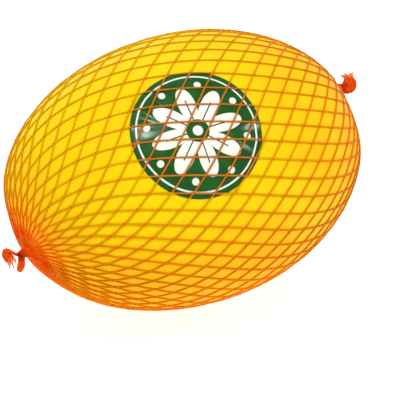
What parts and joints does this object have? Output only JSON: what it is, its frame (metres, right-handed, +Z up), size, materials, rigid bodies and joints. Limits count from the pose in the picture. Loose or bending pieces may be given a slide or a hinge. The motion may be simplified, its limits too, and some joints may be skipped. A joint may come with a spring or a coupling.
{
  "type": "canary melon",
  "caption": "Whole canary melon, smooth yellow oval fruit in a red-orange plastic mesh net gathered and knotted at both ends, with a round green and white paper label under the net.",
  "frame": {"origin": "middle of the small flat spot under the net that the melon rests on, under the melon's centre", "axes": "+X along the melon's length towards the end with the fist-like knot, +Z up, -Y the labelled side"},
  "size_m": [0.2361, 0.1574, 0.1566],
  "materials": {
    "rind": "smooth waxy fruit rind, satin, yellow turning orange-yellow towards the ends",
    "netting": "translucent red-orange polyethylene net, darker where it is gathered",
    "label_paper": "coated glossy paper, green with white"
  },
  "bodies": {
    "root": {"melon": "rind", "net": "netting", "label": "label_paper"}
  },
  "joints": []
}
